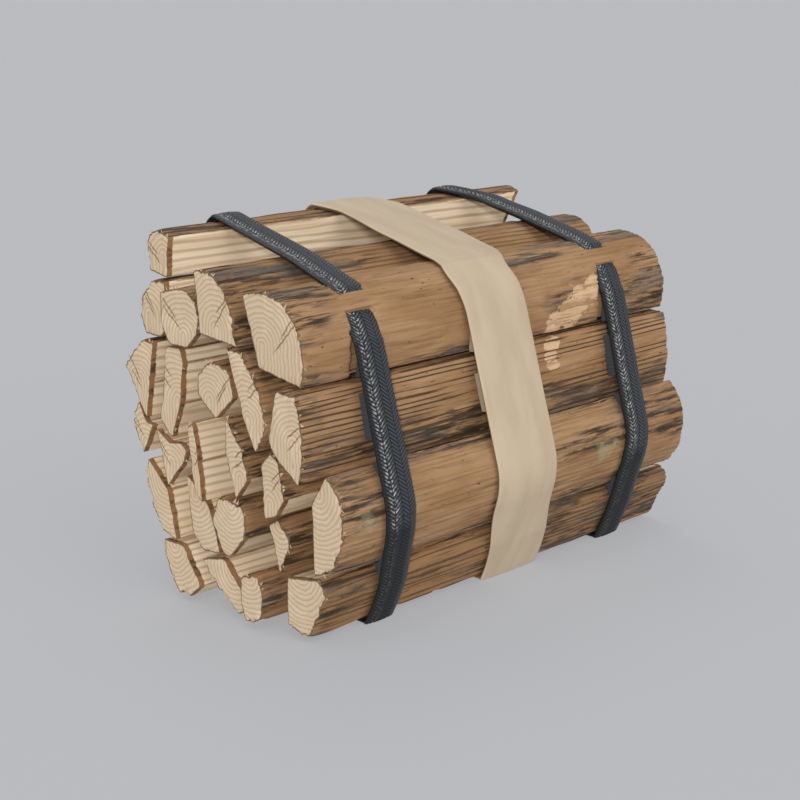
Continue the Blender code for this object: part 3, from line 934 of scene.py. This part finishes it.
def make_side_material():
    """Bark and split wood, which meet in a ragged brown lip."""
    nodes = Nodes("bark_and_split_wood")
    bark, streak, thin = bark_colour(nodes)
    split, fibre = split_colour(nodes)
    depth = nodes.number("bark_depth") + nodes.wander((45, 300, 300), 4, 0.65, 0.0055)
    is_bark = nodes.step(depth, -0.0004, 0.0003)
    split = nodes.paint(split, BORDER_BROWN, nodes.step(depth, -0.0016, -0.0006), 0.8)
    crumb = nodes.noise((260, 620, 620), 3, 0.6)
    bark_height = crumb * 0.35 - (streak + thin * 0.4)
    split_height = fibre * 0.6
    height = is_bark * bark_height + (1.0 - is_bark) * split_height
    roughness = 0.72 + crumb * 0.25
    return nodes.finish(nodes.mix(is_bark, split, bark), roughness, 0.25, nodes.bump(height, 0.0011, 0.55))


def make_end_material():
    """Sawn ends: rings that arch over the heart, slanting cracks and a dark rim."""
    nodes = Nodes("end_grain")
    _, y, z = nodes.axes()
    away_y = y - nodes.number("pith_y")
    away_z = (z - nodes.number("pith_z")) * nodes.number("arch")
    above = nodes.math("MAXIMUM", away_z, 0.0)
    below = nodes.math("MINIMUM", away_z, 0.0) * nodes.number("straight")
    squares = away_y * away_y + (above * above + below * below)
    wobble = nodes.noise((30, 55, 55), 3, 0.5) * RING_WOBBLE
    ring = nodes.math("FRACT", (nodes.math("SQRT", squares) + wobble) * (1 / RING_PITCH))
    latewood = nodes.step(ring, 0.3, 0.82) * nodes.step(ring, 1.0, 0.86)
    fine = nodes.noise((900, 900, 900), 3, 0.6)
    shade = nodes.noise((40, 50, 50), 3, 0.5)
    colour = nodes.paint(END_LIGHT, SPLIT_SHADE, nodes.step(shade, 0.45, 0.75), 0.5)
    colour = nodes.paint(colour, END_RING, latewood, 0.48)
    colour = nodes.paint(colour, END_RING, nodes.step(fine, 0.55, 0.75), 0.25)
    crack = 0.0
    for order in ("first", "second"):
        off = nodes.number(order + "_crack_off") + nodes.wander((200, 200, 200), 2, 0.5, 0.003)
        narrow = nodes.step(abs(off), 0.0008, 0.0002)
        reach = nodes.step(abs(nodes.number(order + "_crack_along")), 1.1, 0.5)
        crack = nodes.math("MAXIMUM", crack, narrow * reach)
    colour = nodes.paint(colour, END_CRACK, crack, 0.75)
    from_rim = nodes.number("from_rim") + nodes.wander((300, 300, 300), 2, 0.5, 0.0012)
    colour = nodes.paint(colour, BARK_DARK, nodes.step(from_rim, 0.0014, 0.0005), 0.85)
    height = latewood * 0.35 + fine * 0.5 - crack * 1.5
    return nodes.finish(colour, 0.88, 0.2, nodes.bump(height, 0.0004, 0.5))


def make_splinter_material():
    nodes = Nodes("splinter")
    grain = nodes.noise((400, 900, 900), 3, 0.6)
    return nodes.finish(nodes.mix(grain, SPLIT_SHADE, BARK_MID), 0.85, 0.2, nodes.bump(grain, 0.0003, 0.5))


def make_braid_material():
    """Black glossy braid: slanting yarn columns, dark edges, blue-grey backs, painted glints, a painted
    reflection and painted shade underneath.
    """
    nodes = Nodes("braid")
    wall = nodes.number("wall")
    across = nodes.number("across")
    column = (across + 1.0) * (BRAID_COLUMNS / 2)
    inside = nodes.math("FRACT", column)
    odd = nodes.math("GREATER_THAN", nodes.math("FRACT", column * 0.5), 0.499)
    slant = abs(1.0 - odd - inside)
    phase = nodes.number("pitches") + slant * BRAID_SLANT
    yarn = abs(nodes.math("SINE", phase * math.pi))
    ply = abs(nodes.math("SINE", phase * (math.pi * 3)))
    seam = nodes.step(nodes.math("MINIMUM", inside, 1.0 - inside), 0.0, 0.12)
    thread = nodes.noise((1500, 1500, 1500), 2, 0.5)
    height = yarn * seam + (ply * 0.3 + thread * 0.3)
    crest = nodes.step(yarn, 0.35, 0.95) * seam
    # Painted highlight: bright glints painted into the yarn colour over the face's left third.
    painted_glint = nodes.step(abs(across + 0.5), 0.42, 0.05)
    sparkle = nodes.step(nodes.noise((420, 420, 420), 2, 0.5), 0.42, 0.62)
    # Painted reflection: the valleys turn from black to blue-grey towards the face's right edge.
    valley_and_reflection = nodes.mix(nodes.step(across, -0.2, 0.9), BRAID_BLACK, BRAID_REFLECTION_BLUE)
    colour = nodes.mix(crest, valley_and_reflection, nodes.paint(BRAID_YARN, BRAID_PAINTED_GLINT, painted_glint, sparkle))
    colour = nodes.paint(colour, BRAID_EDGE, nodes.step(across, -0.72, -0.9), 0.85)
    # Painted shade: the face is darkened where it turns downwards, away from its right edge; it is also
    # made rougher there.
    underside_shade = nodes.step(nodes.number("below"), 0.02, 0.22) * nodes.step(across, 0.9, 0.3)
    colour = nodes.paint(colour, BRAID_UNDERSIDE_SHADE, underside_shade, 0.82)
    colour = nodes.mix(nodes.step(wall, 0.2, 0.7), colour, BRAID_BLACK)
    colour = nodes.mix(nodes.step(wall, 1.2, 1.8), colour, BRAID_BACK)
    roughness = 0.46 - crest * 0.16 + underside_shade * 0.35
    return nodes.finish(colour, roughness, 0.5, nodes.bump(height, 0.0006, 0.8))


def make_band_material():
    """Soft cream leather, mottled and faintly clouded, with a painted shadow along its edges."""
    nodes = Nodes("band_leather")
    wall = nodes.number("wall")
    mottle = nodes.noise((60, 14, 14), 3, 0.55)
    cloud = nodes.noise((9, 14, 14), 3, 0.55)
    pores = nodes.noise((850, 850, 850), 3, 0.6)
    colour = nodes.mix(nodes.step(mottle, 0.3, 0.72), BAND_CREAM, BAND_PALE)
    colour = nodes.paint(colour, BAND_CLOUD, nodes.step(cloud, 0.5, 0.8), 0.4)
    # Painted shadow: the band's edge sides are painted brown, for the shadow along its edges.
    colour = nodes.paint(colour, BAND_EDGE_SHADOW, nodes.step(wall, 0.2, 0.8), 0.8)
    colour = nodes.mix(nodes.step(wall, 1.2, 1.8), colour, BAND_BACK)
    height = mottle * 0.8 + pores * 0.35
    roughness = 0.58 + pores * 0.2
    return nodes.finish(colour, roughness, 0.35, nodes.bump(height, 0.0009, 0.2))


# Set.

def direction_to(azimuth, elevation):
    """The direction at these degrees: azimuth 0 is -Y and 90 is +X."""
    turned = math.radians(azimuth)
    raised = math.radians(elevation)
    return Vector((math.sin(turned) * math.cos(raised), -math.cos(turned) * math.cos(raised),
                   math.sin(raised)))


def make_floor():
    """A pale disc that reaches so far that its edge lies on the horizon, in the colour of the room."""
    points = [(0.0, 0.0, 0.0)]
    count = 64
    for reach in FLOOR_RINGS:
        for index in range(count):
            turned = 2 * math.pi * index / count
            points.append((reach * math.cos(turned), reach * math.sin(turned), 0.0))
    faces = [(0, 1 + index, 1 + (index + 1) % count) for index in range(count)]
    for row in range(len(FLOOR_RINGS) - 1):
        faces += ring_faces(1 + (row + 1) * count, 1 + row * count, count)
    nodes = Nodes("floor")
    patch = nodes.noise((0.6, 0.6, 0.6), 2, 0.5)
    nodes.join(FLOOR_GLOW, nodes.shader.inputs["Emission Color"])
    nodes.join(FLOOR_GLOW_STRENGTH, nodes.shader.inputs["Emission Strength"])
    material = nodes.finish(nodes.mix(patch, FLOOR_GREY, FLOOR_PALE), 0.95, 0.0)
    floor = mesh_piece("floor", np.array(points), faces, {}, [material], None, 180)


def make_light(name, azimuth, elevation, spread, strength, colour):
    """A large soft light, far away, in the direction given in degrees."""
    lamp = bpy.data.lights.new(name, "SUN")
    lamp.energy = strength
    lamp.angle = math.radians(spread)
    lamp.color = colour
    thing = bpy.data.objects.new(name, lamp)
    thing.rotation_euler = direction_to(azimuth, elevation).to_track_quat("Z", "Y").to_euler()
    bpy.context.scene.collection.objects.link(thing)


def make_lights():
    world = bpy.data.worlds.new("soft_room")
    world.use_nodes = True
    room = world.node_tree.nodes["Background"]
    room.inputs["Color"].default_value = ROOM_COLOUR
    room.inputs["Strength"].default_value = ROOM_STRENGTH
    bpy.context.scene.world = world
    for name, values in LIGHTS.items():
        make_light(name, *values)


def make_camera():
    camera = bpy.data.cameras.new("camera")
    camera.lens = CAMERA_LENS
    camera.sensor_width = 36
    camera.clip_start = 0.05
    camera.clip_end = 120
    thing = bpy.data.objects.new("camera", camera)
    thing.location = CAMERA_PLACE
    thing.rotation_euler = direction_to(CAMERA_AZIMUTH, CAMERA_ELEVATION).to_track_quat("Z", "Y").to_euler()
    bpy.context.scene.collection.objects.link(thing)
    bpy.context.scene.camera = thing


def make_logs():
    side = make_side_material()
    end = make_end_material()
    for seed, name in enumerate(LOGS):
        make_log(name, 40 + seed * 31, side, end)
    make_splinters(make_splinter_material())


def make_ties():
    braid = make_braid_material()
    leather = make_band_material()
    outlines = {name: plain_outline([corner[:3] for corner in log[2]]) for name, log in LOGS.items()}
    band_hull = convex_hull([point for outline in outlines.values() for point in outline])
    bedded = dict(outlines)
    bedded[RIDGE_LOG] = plain_outline(STRAP_BED)
    strap_hull = convex_hull([point for outline in bedded.values() for point in outline])
    strap_shares = np.linspace(-1, 1, 41).tolist()
    for name, run in (("strap_near", STRAP_NEAR_RUN), ("strap_far", STRAP_FAR_RUN)):
        stations, total = tie_frame(strap_hull, bedded.values(), run, STRAP_THICKNESS, STRAP_DEPTH,
                                    STRAP_BACKS)
        make_tie(name + "_braid", name, stations, total, strap_shares, strap_profile, braid_height,
                 STRAP_THICKNESS, braid)
    edge = [-1, -0.985, -0.965, -0.94, -0.91, -0.87]
    band_shares = edge + np.linspace(-0.8, 0.8, 19).tolist() + [-share for share in reversed(edge)]
    stations, total = tie_frame(band_hull, outlines.values(), BAND_RUN, BAND_THICKNESS, BAND_DEPTH,
                                BAND_BACKS)
    make_tie("band_leather", "band", stations, total, band_shares, band_profile, band_height,
             BAND_THICKNESS, leather)


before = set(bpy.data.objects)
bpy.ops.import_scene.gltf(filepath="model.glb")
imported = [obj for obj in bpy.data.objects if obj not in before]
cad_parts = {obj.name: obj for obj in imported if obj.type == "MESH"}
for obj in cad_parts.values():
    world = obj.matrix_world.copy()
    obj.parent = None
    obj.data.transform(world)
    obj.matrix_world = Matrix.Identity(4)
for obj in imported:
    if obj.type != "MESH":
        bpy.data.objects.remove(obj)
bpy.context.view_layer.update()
bpy.context.scene.view_settings.view_transform = "Standard"
make_camera()
make_logs()
make_ties()
make_floor()
make_lights()
